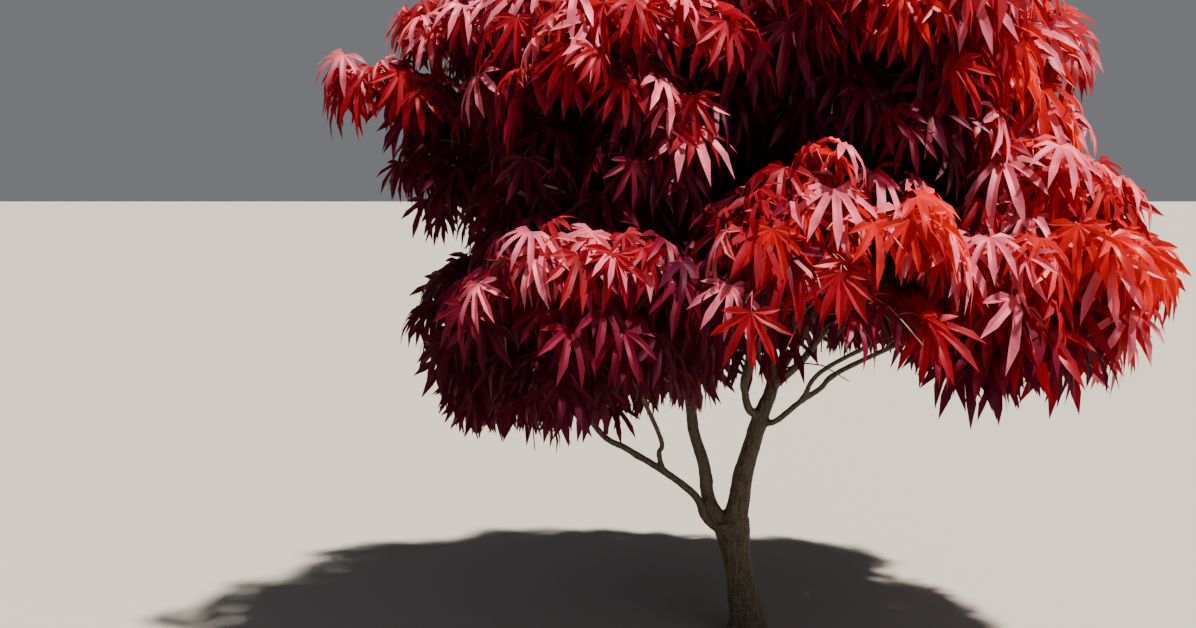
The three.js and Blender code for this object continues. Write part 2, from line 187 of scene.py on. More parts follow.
# Name, mass, what carries it and where, radii at its foot and tip, and its bends
limbs = [
    ("leader", "top_right", "trunk", 0.93, (0.021, 0.0055),
     [(-0.013, 0.003, 0.212), (-0.006, 0.004, 0.257), (0.009, 0.006, 0.310), (0.024, 0.010, 0.356),
      (0.036, 0.016, 0.384), (0.039, 0.024, 0.418), (0.034, 0.040, 0.560), (0.060, 0.030, 0.760)]),
    ("bough_left", "mid_left", "trunk", 0.9, (0.013, 0.0055),
     [(-0.056, 0.006, 0.212), (-0.066, 0.008, 0.271), (-0.082, 0.012, 0.325), (-0.090, 0.014, 0.384),
      (-0.110, 0.016, 0.470), (-0.180, 0.014, 0.600)]),
    ("bough_low_left", "low_left", "trunk", 0.86, (0.008, 0.0046),
     [(-0.062, -0.004, 0.190), (-0.076, -0.010, 0.222), (-0.101, -0.016, 0.247), (-0.138, -0.024, 0.274),
      (-0.187, -0.030, 0.305), (-0.222, -0.032, 0.326)]),
    ("bough_low_right", "low_right", "leader", 0.4, (0.0056, 0.0042),
     [(0.040, -0.002, 0.340), (0.076, -0.010, 0.371), (0.107, -0.014, 0.393), (0.141, -0.016, 0.422)]),
    ("limb_centre", "mid_front_right", "leader", 0.42, (0.008, 0.0046),
     [(0.002, -0.002, 0.358), (-0.006, -0.012, 0.384), (-0.008, -0.030, 0.420), (0.020, -0.090, 0.540)]),
    ("limb_right", "mid_right", "leader", 0.6, (0.008, 0.0048),
     [(0.062, 0.012, 0.412), (0.096, 0.010, 0.450), (0.180, 0, 0.580)]),
    ("limb_front_right", "low_front_right", "bough_low_right", 0.42, (0.0046, 0.0038),
     [(0.112, -0.048, 0.430)]),
    ("limb_front_left", "low_front_left", "bough_low_left", 0.55, (0.0052, 0.0038),
     [(-0.137, -0.044, 0.300), (-0.138, -0.080, 0.334)]),
    ("limb_mid_front_left", "mid_front_left", "bough_left", 0.5, (0.0064, 0.0044),
     [(-0.078, -0.024, 0.400), (-0.092, -0.090, 0.520)]),
    ("limb_front", "low_front", "limb_centre", 0.5, (0.0054, 0.0038), []),
    ("limb_back_left", "low_back_left", "bough_left", 0.56, (0.0066, 0.0044), []),
    ("limb_mid_back_left", "mid_back_left", "bough_left", 0.72, (0.0066, 0.0044), []),
    ("limb_top_left", "top_left", "bough_left", 0.82, (0.0062, 0.0044), []),
    ("limb_back_right", "low_back_right", "leader", 0.62, (0.007, 0.0044), []),
    ("limb_back", "low_back", "leader", 0.67, (0.0066, 0.0042), []),
    ("limb_mid_back_right", "mid_back_right", "leader", 0.75, (0.007, 0.0044), []),
    ("limb_mid_back", "mid_back", "leader", 0.82, (0.0066, 0.0044), []),
    ("limb_top_back", "top_back", "leader", 0.86, (0.0064, 0.0044), []),
]
limb_taper = 0.65
# A limb ends inside its mass, at this share of the half-width from the centre, or else at this share of the
# way back to its last bend
entry_depth = 0.6
deepest_start = 0.9
# One without bends of its own takes one, at these shares of the way to the centre, sideways and upwards
limb_spread = 0.34
limb_rise = 0.62


def point_on(points, share):
    """The point at a share of the smooth curve through some points"""
    row = [2 * points[0] - points[1], *points, 2 * points[-1] - points[-2]]
    place = share * (len(points) - 1)
    k = min(int(place), len(points) - 2)
    t = place - k
    before, start, end, after = row[k:k + 4]
    leaving, arriving = (end - before) / 2, (after - start) / 2
    return (
        (2 * t**3 - 3 * t**2 + 1) * start + (t**3 - 2 * t**2 + t) * leaving
        + (3 * t**2 - 2 * t**3) * end + (t**3 - t**2) * arriving
    )


def heading_on(points, share, step=1e-4):
    """The direction of that curve at a share"""
    low, high = max(share - step, 0), min(share + step, 1)
    return (point_on(points, high) - point_on(points, low)).normalized()


def along(points, steps):
    """Even stations along that curve"""
    return [point_on(points, k / steps) for k in range(steps + 1)]


def limb_points(mass, start, bends):
    """The points of a limb, from its carrier to the place where it enters its mass"""
    centre, half, _ = masses[mass]
    centre = Vector(centre)
    bends = [Vector(bend) for bend in bends]
    if not bends:
        bends = [start + (centre - start) * Vector((limb_spread, limb_spread, limb_rise))]
    inward = bends[-1] - centre
    reach = math.hypot(*(inward[k] / half[k] for k in range(3)))
    return [start, *bends, centre + inward * min(entry_depth / reach, deepest_start)]


curves = {"trunk": [Vector(point) for point in trunk_route]}
radii = {"trunk": (trunk_radius, trunk_radius)}
bough_ends = {}
for name, mass, carrier, share, ends, bends in limbs:
    curves[name] = limb_points(mass, point_on(curves[carrier], share), bends)
    radii[name] = ends
    bough_ends[mass] = (curves[name][-1], heading_on(curves[name], 1))


# The trunk and boughs
# They are one piece of living wood. Each limb is a rod that follows its curve, melted into the limb that
# carries it by a fine remesh, and then the bark gets its relief: long shallow ridges that run with the
# grain, rings where each year's growth began, and a swollen collar round every fork.
remesh_grain = 0.0021
wood_sides = 20
wood_step = 0.008
fewest_steps = 6
collar_swell = 0.22
collar_length = 0.030
upright_side = 0.2


def rod_form(sides, steps):
    """A closed rod of unit radius and length, as its vertices' [x, y, station] and its triangles"""
    shape = bmesh.new()
    bmesh.ops.create_cone(
        shape, cap_ends=True, cap_tris=False, segments=sides, radius1=1, radius2=1, depth=steps,
        matrix=Matrix.Translation((0, 0, steps / 2)),
    )
    if steps > 1:
        upright = [e for e in shape.edges if abs(e.verts[0].co.z - e.verts[1].co.z) > 0.5]
        bmesh.ops.subdivide_edges(shape, edges=upright, cuts=steps - 1, use_grid_fill=False)
    bmesh.ops.triangulate(shape, faces=shape.faces)
    return arrays_of(shape)


def arrays_of(shape):
    """The vertices and triangles of a bmesh, as arrays"""
    shape.verts.index_update()
    vertices = np.array([vertex.co[:] for vertex in shape.verts])
    triangles = np.array([[vertex.index for vertex in face.verts] for face in shape.faces])
    shape.free()
    return vertices, triangles


def carry_rod(form, stations, radius):
    """A rod's form carried along some stations. radius gives one size for each station or each vertex.

    A rod that sets out upright takes its first side from the front instead of from level.
    """
    vertices, triangles = form
    stations = np.array([point[:] for point in stations])
    ways = np.gradient(stations, axis=0)
    ways /= np.linalg.norm(ways, axis=1)[:, None]
    side = np.cross(ways[0], (0, 0, 1))
    if np.linalg.norm(side) < upright_side:
        side = np.cross(ways[0], (0, -1, 0))
    sides = []
    for way in ways:
        side = side - way * side.dot(way)
        side /= np.linalg.norm(side)
        sides.append(side)
    sides = np.array(sides)
    overs = np.cross(ways, sides)
    station = np.rint(vertices[:, 2]).astype(int)
    radius = np.asarray(radius, float)
    size = (radius if len(radius) == len(vertices) else radius[station])[:, None]
    offset = vertices[:, :1] * sides[station] + vertices[:, 1:2] * overs[station]
    return stations[station] + offset * size, triangles


def shade_smooth(mesh):
    """Shades the faces of a mesh as one smooth surface"""
    mesh.polygons.foreach_set("use_smooth", [True] * len(mesh.polygons))


def joined(name, parts, material):
    """One object from many pairs of vertex and triangle arrays"""
    counts = [len(vertices) for vertices, _ in parts]
    starts = np.cumsum([0, *counts[:-1]])
    vertices = np.concatenate([vertices for vertices, _ in parts])
    triangles = np.concatenate([triangles + start for (_, triangles), start in zip(parts, starts)])
    mesh = bpy.data.meshes.new(name)
    mesh.vertices.add(len(vertices))
    mesh.vertices.foreach_set("co", vertices.astype(np.float32).ravel())
    mesh.loops.add(triangles.size)
    mesh.loops.foreach_set("vertex_index", triangles.astype(np.int32).ravel())
    mesh.polygons.add(len(triangles))
    mesh.polygons.foreach_set("loop_start", np.arange(0, triangles.size, 3, dtype=np.int32))
    mesh.update(calc_edges=True)
    mesh.validate()
    shade_smooth(mesh)
    mesh.materials.append(material)
    piece = bpy.data.objects.new(name, mesh)
    bpy.context.scene.collection.objects.link(piece)
    return piece


def baked(piece):
    """Applies a piece's modifiers to its mesh"""
    graph = bpy.context.evaluated_depsgraph_get()
    mesh = bpy.data.meshes.new_from_object(piece.evaluated_get(graph))
    piece.modifiers.clear()
    piece.data = mesh


def trunk_size(height, angle):
    """The trunk's radius: root buttresses at the ground, and broader sideways under its fork"""
    flare = math.exp(-height / flare_height) * (flare_radius - trunk_radius)
    lobes = 1 + buttress_depth * math.cos(buttresses * angle + buttress_turn)
    top = trunk_route[-1][2]
    rise = min(max((height - top + fork_height) / fork_height, 0), 1)
    forking = rise * rise * (3 - 2 * rise)
    sideways = fork_front_share + (1 - fork_front_share) * math.cos(angle) ** 2
    return (trunk_radius + flare * lobes) * (1 + fork_stretch * forking * sideways)


def wood_rod(name):
    """The rod of one limb, or of the trunk"""
    points = curves[name]
    reach = sum((b - a).length for a, b in zip(points, points[1:]))
    steps = max(fewest_steps, round(reach / wood_step))
    form = rod_form(wood_sides, steps)
    stations = along(points, steps)
    if name == "trunk":
        # It starts a little below the ground, where it is cut flat in the end
        below = Vector((0, 0, -3 * remesh_grain))
        stations[0] = stations[0] + below
        angle = np.arctan2(form[0][:, 1], form[0][:, 0])
        height = np.array([max(stations[round(z)].z, 0) for z in form[0][:, 2]])
        return carry_rod(form, stations, [trunk_size(h, a) for h, a in zip(height, angle)])
    foot, tip = radii[name]
    sizes = []
    for k in range(steps + 1):
        share = k / steps
        collar = 1 + collar_swell * math.exp(-((share * reach / collar_length) ** 2))
        sizes.append((foot + (tip - foot) * share**limb_taper) * collar)
    return carry_rod(form, stations, sizes)


# Bark of a young maple: smooth, grey-brown with an olive cast, so it is half matt. Fine cracks run upwards
# 3.8 mm apart, small corky pores lie level 6.7 mm apart, and the olive patches are 59 mm across.
cracks_per_metre = 260
crack_stretch = 0.16
crack_depth = 0.0008
pores_per_metre = 150
pore_squash = 2.6
pore_depth = 0.0005
patches_per_metre = 17
young_bark, tree = blank("young_bark")
place = add(tree, "TexCoord").outputs["Object"]
grain_place = add(tree, "Mapping", {"Vector": place, "Scale": (1, 1, crack_stretch)}).outputs["Vector"]
pore_place = add(tree, "Mapping", {"Vector": place, "Scale": (1, 1, pore_squash)}).outputs["Vector"]
grain = add(tree, "TexNoise", {"Vector": grain_place, "Scale": cracks_per_metre, "Detail": 6,
                               "Roughness": 0.62})
patch = add(tree, "TexNoise", {"Vector": place, "Scale": patches_per_metre, "Detail": 3})
pore = add(tree, "TexVoronoi", {"Vector": pore_place, "Scale": pores_per_metre})
pore_dot = add(tree, "MapRange", {"Value": pore.outputs["Distance"], "From Min": 0.10, "From Max": 0.26,
                                  "To Min": 1, "To Max": 0})
tone = add(tree, "ValToRGB", {"Fac": grain.outputs["Fac"]})
tone.color_ramp.elements[0].position = 0.30
tone.color_ramp.elements[0].color = linear("#2f2a22")
tone.color_ramp.elements[1].position = 0.74
tone.color_ramp.elements[1].color = linear("#857762")
olive = add(tree, "ValToRGB", {"Fac": patch.outputs["Fac"]})
olive.color_ramp.elements[0].position = 0.38
olive.color_ramp.elements[0].color = linear("#8d8a6c")
olive.color_ramp.elements[1].position = 0.66
olive.color_ramp.elements[1].color = linear("#b09a8c")
cast = add(tree, "Mix", {"Factor": 0.8}, data_type="RGBA", blend_type="MULTIPLY")
tree.links.new(tone.outputs["Color"], cast.inputs["A"])
tree.links.new(olive.outputs["Color"], cast.inputs["B"])
speck = add(tree, "Mix", {"Factor": pore_dot.outputs["Result"]}, data_type="RGBA")
tree.links.new(cast.outputs["Result"], speck.inputs["A"])
speck.inputs["B"].default_value = linear("#7d7060")
fine = add(tree, "Bump", {"Strength": 0.5, "Distance": crack_depth, "Height": grain.outputs["Fac"]})
dots = add(tree, "Bump", {"Strength": 0.4, "Distance": pore_depth, "Height": pore_dot.outputs["Result"],
                          "Normal": fine.outputs["Normal"]})
shade = add(tree, "BsdfPrincipled", {"Roughness": 0.72, "IOR": 1.45, "Base Color": speck.outputs["Result"],
                                     "Normal": dots.outputs["Normal"]})
add(tree, "OutputMaterial", {"Surface": shade.outputs["BSDF"]})

wood = joined("trunk_and_boughs", [wood_rod(name) for name in curves], young_bark)
remesh = wood.modifiers.new("melt", "REMESH")
remesh.mode = "VOXEL"
remesh.voxel_size = remesh_grain
remesh.use_smooth_shade = True
smooth = wood.modifiers.new("soften", "SMOOTH")
smooth.factor = 0.6
smooth.iterations = 9
baked(wood)

# Each vertex finds its own limb, so that the relief runs with the grain of that limb. Fine ridges are 2.4 mm
# apart and coarse ones 5.3 mm, the rings waver a little, and a few low burrs lie 26 mm apart. The relief is
# lower where a limb is thin.
relief_steps = 60
ridge_height = 0.00055
fine_ridges, fine_stretch = 420, 0.18
coarse_ridges, coarse_stretch, coarse_share = 190, 0.3, 0.7
ring_height = 0.00045
ring_spacing = 0.043
ring_sharpness = 14
ring_waves, ring_wobble = 90, 0.25
burr_height = 0.0044
burrs_per_metre, burr_floor = 38, 0.28
full_relief_radius = 0.012
thin_relief = 0.35
stations = [
    (name, k / relief_steps, point)
    for name, points in curves.items()
    for k, point in enumerate(along(points, relief_steps))
]
nearest = kdtree.KDTree(len(stations))
for index, (_, _, point) in enumerate(stations):
    nearest.insert(point, index)
nearest.balance()
lengths = {name: sum((b - a).length for a, b in zip(points, points[1:])) for name, points in curves.items()}
shape = bmesh.new()
shape.from_mesh(wood.data)
for vertex in shape.verts:
    _, index, _ = nearest.find(vertex.co)
    name, share, point = stations[index]
    way = heading_on(curves[name], share)
    offset = vertex.co - point
    run = share * lengths[name] + offset.dot(way)
    across = offset - way * offset.dot(way)
    fine_place = Vector((across.x, across.y + across.z, run * fine_stretch))
    coarse_place = Vector((across.x, across.y + across.z, run * coarse_stretch))
    ridge = noise.noise(fine_place * fine_ridges) + coarse_share * noise.noise(coarse_place * coarse_ridges)
    wobble = noise.noise(across * ring_waves) * ring_wobble
    ring = max(0, math.cos(2 * math.pi * (run / ring_spacing + wobble))) ** ring_sharpness
    burr = max(0, noise.noise(vertex.co * burrs_per_metre) - burr_floor)
    thick = min(across.length / full_relief_radius, 1)
    lift = ridge * ridge_height + ring * ring_height * thick + burr * burr_height
    vertex.co += vertex.normal * lift * (thin_relief + (1 - thin_relief) * thick)
cut = bmesh.ops.bisect_plane(
    shape, geom=shape.verts[:] + shape.edges[:] + shape.faces[:], plane_co=(0, 0, 0), plane_no=(0, 0, 1),
    clear_inner=True,
)
rim = [edge for edge in cut["geom_cut"] if isinstance(edge, bmesh.types.BMEdge)]
bmesh.ops.edgeloop_fill(shape, edges=rim)
bmesh.ops.triangulate(shape, faces=[face for face in shape.faces if len(face.verts) > 4])
bmesh.ops.recalc_face_normals(shape, faces=shape.faces)
shape.to_mesh(wood.data)
shape.free()
shade_smooth(wood.data)
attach(wood, "root")
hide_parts(*curves)


# The twigs
# Inside each mass a spine climbs from the end of its bough, and side twigs leave it one golden angle after
# another from the top down. Finer twigs follow at its head and round its foot. Each ends in a fan of young
# straight shoots, which stop short of the edge of the mass and droop at the tip.

# The spines lean away from the crown's heart. Each starts just clear of its bough's tip, in line with it.
heart = Vector((0.010, 0, 0.560))
touch_gap = 0.0003
neck_length = 0.008
side_reach = 0.066
side_reach_spread = 0.15
angle_spread = 0.15
side_rise = 0.026
spine_top = 0.8
spine_foot = 0.42
spine_lean = 0.22
# The topmost side twig leaves 0.6 of a step under the spine's head, and the lowest half a step over its foot
twig_offset = 0.4
twig_margin = 0.9
# The twig at the head begins and ends at these shares of the head's height, and those round the foot leave
# it no higher than this share of the foot's depth, with this share of the reach
head_twig_start, head_twig_end = 0.5, 1.05
foot_twigs = 4
foot_highest = 0.6
foot_reach = 0.9
foot_fall = 0.010
mass_gap = 0.003
up = Vector((0, 0, 1))
golden = math.pi * (3 - math.sqrt(5))


def seeded(seed):
    """One fixed row of random numbers, the same on every run"""
    state = seed
    while True:
        state = (state * 1664525 + 1013904223) % 4294967296
        yield state / 4294967296


def between(draw, low, high):
    """A random number between two bounds"""
    return low + (high - low) * next(draw)


def turned_about(vector, axis, degrees):
    """A vector turned about an axis"""
    return Matrix.Rotation(math.radians(degrees), 3, axis) @ vector


def size_of(mass):
    """The mean half-width of a mass"""
    return sum(masses[mass][1]) / 3


def planes_of(mass):
    """The planes between a mass and its neighbours, each as its normal and its distance along it"""
    centre = Vector(masses[mass][0])
    planes = []
    for other in masses:
        if other == mass:
            continue
        toward = Vector(masses[other][0]) - centre
        apart = toward.length
        share = 0.5 + (size_of(mass) ** 2 - size_of(other) ** 2) / (2 * apart**2)
        toward.normalize()
        planes.append((toward, toward.dot(centre) + share * apart - mass_gap / 2))
    return planes


def in_space(point, mass, planes, allowance, overlap):
    """Whether a point is in the space of a mass, a squarish ellipsoid cut by planes, or that near to them"""
    centre, half, _ = masses[mass]
    overhang = sprigs[mass][3] if mass in sprigs else 0
    reach = (half[0] - overhang, half[1], half[2])
    share = sum((abs(point[k] - centre[k]) / (reach[k] + allowance)) ** 3 for k in range(3))
    return share < 1 and all(normal.dot(point) < far + overlap for normal, far in planes)


def grow_spine(mass, draw):
    """The spine of a mass, and its side twigs.

    Each twig is its root, tip and direction, the turns, rise and bare share of its shoots, and whether it
    stands out of the mass.
    """
    centre, half, sprays = masses[mass]
    centre = Vector(centre)
    end, way = bough_ends[mass]
    away = centre - heart
    away.z = 0
    away.normalize()

    def spine_at(height):
        return centre + up * height + away * spine_lean * height

    head, foot = spine_top * half[2], -spine_foot * half[2]
    sprig, sprig_way, sprig_reach, _ = sprigs.get(mass, (None, 0, 0, 0))
    turned = math.radians(sprig_way) - golden * sprig if sprig else next(draw) * 2 * math.pi
    start = end + way * touch_gap
    spine = [start, start + way * neck_length, spine_at(foot), spine_at(head)]
    side_twigs = []
    for k in range(1, sprays):
        angle = turned + golden * k + angle_spread * (2 * next(draw) - 1)
        out = Vector((math.cos(angle), math.sin(angle), 0))
        root = spine_at(head + (foot - head) * ((k - twig_offset) / (sprays - twig_margin)))
        reach = (sprig_reach if k == sprig else side_reach) * (1 + side_reach_spread * (2 * next(draw) - 1))
        tip = root + out * reach + up * side_rise
        side_twigs.append((root, tip, out, fan_turns, side_lift, bare_share, k == sprig))
    # The solids leave out the twig at the head, whose shoots have leaves all along, and those round the foot
    head_twig = spine_at(head_twig_start * head), spine_at(head_twig_end * head)
    side_twigs.append((*head_twig, away, head_turns, head_lift, 0, False))
    for k in range(foot_twigs):
        angle = turned + golden * (sprays + k)
        out = Vector((math.cos(angle), math.sin(angle), 0))
        root = spine_at(foot * between(draw, foot_highest, 1))
        tip = root + out * side_reach * foot_reach - up * foot_fall
        side_twigs.append((root, tip, out, foot_turns, foot_lift, bare_share, False))
    return spine, side_twigs


# Young bark of twigs and shoots: smooth and faintly waxy, a brown that blushes every 33 mm or so
blushes_per_metre = 30
twig_bark, tree = blank("twig_bark")
place = add(tree, "TexCoord").outputs["Object"]
blush = add(tree, "TexNoise", {"Vector": place, "Scale": blushes_per_metre, "Detail": 4})
tone = add(tree, "ValToRGB", {"Fac": blush.outputs["Fac"]})
tone.color_ramp.elements[0].position = 0.35
tone.color_ramp.elements[0].color = linear("#4b3a2e")
tone.color_ramp.elements[1].position = 0.65
tone.color_ramp.elements[1].color = linear("#8f6350")
shade = add(tree, "BsdfPrincipled", {"Roughness": 0.5, "IOR": 1.45, "Base Color": tone.outputs["Color"]})
add(tree, "OutputMaterial", {"Surface": shade.outputs["BSDF"]})

# The sides and steps of each kind of rod, and its radii at foot and tip
spine_rod, spine_radii = rod_form(6, 14), (0.0046, 0.0018)
side_rod, side_radii = rod_form(5, 5), (0.0028, 0.0017)
side_bow = 0.006
shoot_rod, shoot_radii = rod_form(4, 5), (0.0015, 0.0008)
shoot_bend = 0.55

# The turns of the shoots in a fan, in degrees, and the least and most that they rise
fan_turns = [0, 27, -27, 54, -54, 82, -82]
head_turns = [0, 40, 80, 120, 160, 200, 240, 280, 320]
foot_turns = [0, 30, -30, 60, -60]
side_lift = (0.05, 0.60)
head_lift = (0.45, 1.30)
foot_lift = (-0.55, 0.15)
# The shoots of a fan leave the tip of their side twig, and this share of it further back for each step of
# their turn, up to the widest
fan_depth, fan_step, widest_turn = 0.15, 27, 90
turn_spread = 9
shortest_shoot = 0.030
longest_shoot = 0.135
sprig_shoot = 0.070
shoot_fall = 0.32
# A shoot's length is a share of the room in front of it: one share for its twig, and one of its own
vigour_range = (0.72, 1.06)
growth_range = (0.88, 1.06)
room_step = 0.01
room_steps = 30
leaf_room = 0.045
# Leaves grow from the tip down to the bare foot of the shoot
node_spacing = 0.0195
bare_share = 0.24
# How far shoots and leaves grow in among those of the next mass
shoot_overlap = 0.044
leaf_overlap = 0.060
# The crown's underside as seen from the camera: places across it and its height, at the trunk's distance
underside = [
    (-0.52, 0.46), (-0.46, 0.33), (-0.42, 0.295), (-0.35, 0.30), (-0.26, 0.265), (-0.21, 0.30),
    (-0.10, 0.35), (0.0, 0.365), (0.04, 0.41), (0.12, 0.45), (0.23, 0.44), (0.31, 0.345), (0.49, 0.35),
    (0.53, 0.395), (0.60, 0.395), (0.65, 0.46),
]


def room_along(base, way, mass, planes):
    """How far the space of a mass goes on from a point, in steps of a centimetre"""
    for step in range(1, room_steps):
        if not in_space(base + way * room_step * step, mass, planes, 0, shoot_overlap):
            return room_step * (step - 1)
    return room_step * room_steps


def over_underside(point):
    """Whether the camera sees a point over the crown's underside"""
    near = -camera_place[1] / (point.y - camera_place[1])
    across = camera_place[0] + (point.x - camera_place[0]) * near
    height = camera_place[2] + (point.z - camera_place[2]) * near
    return height > np.interp(across, *zip(*underside))


# How the leaves of a node lie. A pair to the sides has stalks spread from the shoot, in degrees, more so
# behind its tip. A leaf over or under the shoot has its stalk along it, raised or dropped, and swayed to a
# side. Blades fall so many degrees below level.
tip_spread, pair_spread = (26, 48), (48, 80)
pair_rise, pair_fall = (0.05, 0.4), (30, 66)
over_along, over_rise, over_sway, over_fall = 0.8, (0.4, 0.9), (-0.6, 0.6), (12, 40)
under_along, under_drop, under_sway, under_fall = 0.7, (0, 0.4), (-0.7, 0.7), (58, 84)


def leaves_at(line, level, draw):
    """The two leaves of a node: where each stalk points, and how far its blade falls, in degrees.

    One pair lies to the sides of the shoot, the next stands over and under it, and so on.
    """
    across = line.cross(up).normalized()
    pair = []
    for hand in (1, -1):
        if level % 2 == 0:
            spread = math.radians(between(draw, *(tip_spread if level == 0 else pair_spread)))
            outward = line * math.cos(spread) + across * hand * math.sin(spread)
            outward += up * between(draw, *pair_rise)
            fall = between(draw, *pair_fall)
        elif hand > 0:
            outward = line * over_along + up * between(draw, *over_rise) + across * between(draw, *over_sway)
            fall = between(draw, *over_fall)
        else:
            outward = line * under_along - up * between(draw, *under_drop)
            outward += across * between(draw, *under_sway)
            fall = between(draw, *under_fall)
        pair.append((outward.normalized(), fall))
    return pair


def leaf_axes(outward, fall, twist):
    """The directions along a hanging blade, across it and out of its upper face"""
    flat = Vector((outward.x, outward.y, 0)).normalized()
    down = flat * math.cos(math.radians(fall)) - up * math.sin(math.radians(fall))
    side = down.cross(up).normalized()
    turn = Matrix.Rotation(math.radians(twist), 3, down)
    return down, turn @ side, turn @ side.cross(down)


stalk_rod, stalk_radii = rod_form(3, 3), [0.0008, 0.0007, 0.0006, 0.0007]
stalk_length = 0.026
stalk_range = (0.7, 1.5)
stalk_bend, stalk_bow = 0.55, 0.003
leaf_length = 0.088
leaf_length_spread = 0.24
# The leaves on the left of the crown are smaller than those at its right edge, which is so far out
side_growth = 0.16
crown_reach = 0.6
twist_range = 26
# The crown's edge is uneven, by so much and with so many waves to the metre
ragged_edge = 0.040
ragged_scale = 13
# The middle of a blade, as a share of its length, keeps this far from the boughs' curves
blade_middle = 0.4
wood_clearance = 0.020
# Points round a leaf's edge, in radians and as shares of its length, pass the solids' box by at most this
edge_points = [(0, 1), (0.5, 0.95), (-0.5, 0.95), (1.1, 0.8), (-1.1, 0.8)]
box_slack = 0.014
low_corner, high_corner = solid_box
twig_parts = []
stalk_parts = []
# Each leaf's mass, the random tint of its spray, its own random pick, its heel, axes, size and fall
leaf_places = []


def hang_leaf(mass, planes, allowance, tint, seat, outward, fall, draw):
    """Hangs a leaf from its seat on a shoot, unless it would lie outside its mass or too near to a bough.

    A leaf without an allowance stands out of its mass.
    """
    heel = seat + outward * stalk_length * between(draw, *stalk_range)
    size = leaf_length * (1 + leaf_length_spread * between(draw, -1, 1))
    size *= 1 + side_growth * (heel.x / crown_reach - 0.5)
    axes = leaf_axes(outward, fall, between(draw, -twist_range, twist_range))
    pick = next(draw)
    tip = heel + axes[0] * size
    if allowance is not None:
        ragged = allowance + ragged_edge * noise.noise(tip * ragged_scale)
        if not in_space(tip, mass, planes, ragged, leaf_overlap):
            return
    middle = heel + axes[0] * size * blade_middle
    if nearest.find(middle)[2] < wood_clearance or not over_underside(tip):
        return
    for turn, share in edge_points:
        corner = heel + (axes[0] * math.cos(turn) + axes[1] * math.sin(turn)) * size * share
        if any(not low_corner[k] - box_slack < corner[k] < high_corner[k] + box_slack for k in range(3)):
            return
    stalk = [seat, seat.lerp(heel, stalk_bend) + up * stalk_bow, heel]
    stalk_parts.append(carry_rod(stalk_rod, along(stalk, len(stalk_radii) - 1), stalk_radii))
    leaf_places.append((mass, tint, pick, heel, axes, size, fall))


def lay_rod(form, points, radii):
    """Adds a rod to the twigs, along a curve and from one radius to the other"""
    steps = round(form[0][:, 2].max())
    twig_parts.append(carry_rod(form, along(points, steps), np.linspace(*radii, steps + 1)))


def grow_shoot(mass, planes, allowance, tint, base, way, length, bare, draw):
    """Grows a straight shoot that droops at its tip, with pairs of leaves from the tip down"""
    points = [base, base + way * length * shoot_bend, base + way * length - up * length * shoot_fall]
    lay_rod(shoot_rod, points, shoot_radii)
    nodes = max(2, round(length * (1 - bare) / node_spacing))
    for level in range(nodes):
        share = 1 - level * (1 - bare) / nodes
        seat = point_on(points, share)
        for outward, fall in leaves_at(heading_on(points, share), level, draw):
            hang_leaf(mass, planes, allowance, tint, seat, outward, fall, draw)


# Each mass has its own seeds
first_seed = 23
seed_step = 31
# A twig's leaves may pass the edge of their mass by the first of these, and by a random part of the second
least_allowance = 0.010
more_allowance = 0.035
# Some leaves lie back over the fork of a fan, with stalks that lean back and rise, and blades nearly level
back_turns = [140, -140, 180]
back_spread = 18
back_lean, back_rise, back_fall = 0.6, (0.5, 0.9), (14, 40)
for index, mass in enumerate(masses):
    draw = seeded(first_seed + seed_step * index)
    back_draw = seeded(first_seed + seed_step * (index + 0.5))
    planes = planes_of(mass)
    spine, side_twigs = grow_spine(mass, draw)
    lay_rod(spine_rod, spine, spine_radii)
    for root, tip, out, turns, lift, bare, stands_out in side_twigs:
        side = [root, (root + tip) / 2 + up * side_bow, tip]
        lay_rod(side_rod, side, side_radii)
        tint = next(draw)
        vigour = between(draw, *vigour_range)
        allowance = least_allowance + more_allowance * next(draw) ** 2
        if stands_out:
            allowance = None
        for turn in back_turns if turns != foot_turns else []:
            back = turned_about(out, up, turn + between(back_draw, -back_spread, back_spread))
            outward = (back * back_lean + up * between(back_draw, *back_rise)).normalized()
            fall = between(back_draw, *back_fall)
            hang_leaf(mass, planes, allowance, tint, tip, outward, fall, back_draw)
        for turn in turns:
            base = point_on(side, 1 - fan_depth * min(abs(turn), widest_turn) / fan_step)
            way = turned_about(out, up, turn + between(draw, -turn_spread, turn_spread))
            way = (way + up * between(draw, *lift)).normalized()
            room = sprig_shoot if stands_out else room_along(base, way, mass, planes) - leaf_room
            length = min(room * vigour * between(draw, *growth_range), longest_shoot)
            if length < shortest_shoot:
                continue
            grow_shoot(mass, planes, allowance, tint, base, way, length, bare, draw)

# A few shoots fill the inside of the crown, from the leader's upper part
inner_seed = 5
inner_shoots = 14
inner_lowest, inner_highest = 0.66, 0.97
inner_length = 0.120
inner_rise = (0.1, 0.5)
draw = seeded(inner_seed)
for k in range(inner_shoots):
    base = point_on(curves["leader"], inner_lowest + (inner_highest - inner_lowest) * k / inner_shoots)
    way = Vector((math.cos(golden * k), math.sin(golden * k), between(draw, *inner_rise))).normalized()
    grow_shoot("mid_right", None, None, next(draw), base, way, inner_length, bare_share, draw)

twigs = joined("twigs", twig_parts, twig_bark)
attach(twigs, "root")


# The leaf stalks
# Each leaf hangs from a thin stalk that springs from its shoot and bows up a little on the way. The skin of
# a young stalk is red, smooth and a little glossy.
red_stalk, tree = blank("red_stalk")
shade = add(tree, "BsdfPrincipled", {"Base Color": linear("#8e2a2c"), "Roughness": 0.4, "IOR": 1.45})
add(tree, "OutputMaterial", {"Surface": shade.outputs["BSDF"]})
stalks = joined("leaf_stalks", stalk_parts, red_stalk)
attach(stalks, "root")


